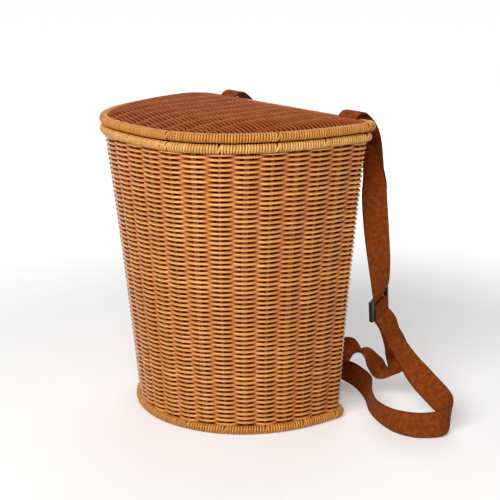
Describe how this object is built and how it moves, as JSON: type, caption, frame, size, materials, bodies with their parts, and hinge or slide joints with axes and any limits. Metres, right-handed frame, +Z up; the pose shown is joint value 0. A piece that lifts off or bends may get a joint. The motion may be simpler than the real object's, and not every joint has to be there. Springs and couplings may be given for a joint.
{
  "type": "wicker backpack",
  "caption": "D-shaped woven wicker basket worn on the back, with a hinged woven lid, bound rims and two webbing shoulder straps with sliding adjusters.",
  "frame": {"origin": "on the floor, under the middle of the base rim's straight back run", "axes": "+Z up, +Y towards the wearer's back, -Y towards the rounded front, +X towards the strap on the viewer's right from the front"},
  "size_m": [0.5406, 0.3243, 0.3881],
  "materials": {
    "reed_wall": "varnished honey-coloured reed",
    "reed_lid": "varnished red-brown reed",
    "reed_rim": "varnished golden split reed",
    "willow_rod": "stained willow rod",
    "webbing": "rust-brown woven webbing",
    "slider_plastic": "black moulded plastic, slight sheen"
  },
  "bodies": {
    "basket": {"wall_weave": "reed_wall", "base_weave": "reed_wall", "base_binding": "reed_rim", "rim_binding": "reed_rim", "base_hoop": "willow_rod", "rim_hoop": "willow_rod", "base_stick_1": "willow_rod", "base_stick_2": "willow_rod", "base_stick_3": "willow_rod", "base_stick_4": "willow_rod", "stake_01_single": "willow_rod", "stake_02_pair": "willow_rod", "stake_03_single": "willow_rod", "stake_04_pair": "willow_rod", "stake_05_single": "willow_rod", "stake_06_pair": "willow_rod", "stake_07_single": "willow_rod", "stake_08_pair": "willow_rod", "stake_09_single": "willow_rod", "stake_10_pair": "willow_rod", "stake_11_single": "willow_rod", "stake_12_pair": "willow_rod", "stake_13_single": "willow_rod", "stake_14_pair": "willow_rod", "stake_15_single": "willow_rod", "stake_16_pair": "willow_rod", "stake_17_single": "willow_rod", "stake_18_pair": "willow_rod", "stake_19_single": "willow_rod", "stake_20_pair": "willow_rod", "stake_21_single": "willow_rod", "stake_22_pair": "willow_rod", "stake_23_single": "willow_rod", "stake_24_pair": "willow_rod", "stake_25_single": "willow_rod", "stake_26_pair": "willow_rod", "stake_27_single": "willow_rod", "stake_28_pair": "willow_rod", "stake_29_single": "willow_rod", "stake_30_pair": "willow_rod", "strap_right": "webbing", "strap_left": "webbing"},
    "lid": {"lid_weave": "reed_lid", "lid_binding": "reed_rim", "lid_hoop": "willow_rod", "lid_stake_01": "willow_rod", "lid_stake_02": "willow_rod", "lid_stake_03": "willow_rod", "lid_stake_04": "willow_rod", "lid_stake_05": "willow_rod", "lid_stake_06": "willow_rod", "lid_stake_07": "willow_rod", "lid_stake_08": "willow_rod", "lid_stake_09": "willow_rod", "lid_stake_10": "willow_rod"},
    "slider_right": {"slider_right": "slider_plastic"},
    "slider_left": {"slider_left": "slider_plastic"}
  },
  "joints": [
    {"name": "lid_hinge", "type": "hinge", "parent": "basket", "child": "lid", "pos_m": [0, 0.0158, 0.3743], "axis": [-1, 0, 0], "range_deg": [0, 110]},
    {"name": "slider_right_slide", "type": "slide", "parent": "basket", "child": "slider_right", "axis": [0.027, -0.084, 0.9961], "range_m": [0, 0.05], "deforming": ["strap_right"]},
    {"name": "slider_left_slide", "type": "slide", "parent": "basket", "child": "slider_left", "axis": [-0.027, -0.084, 0.9961], "range_m": [0, 0.05], "deforming": ["strap_left"]}
  ]
}
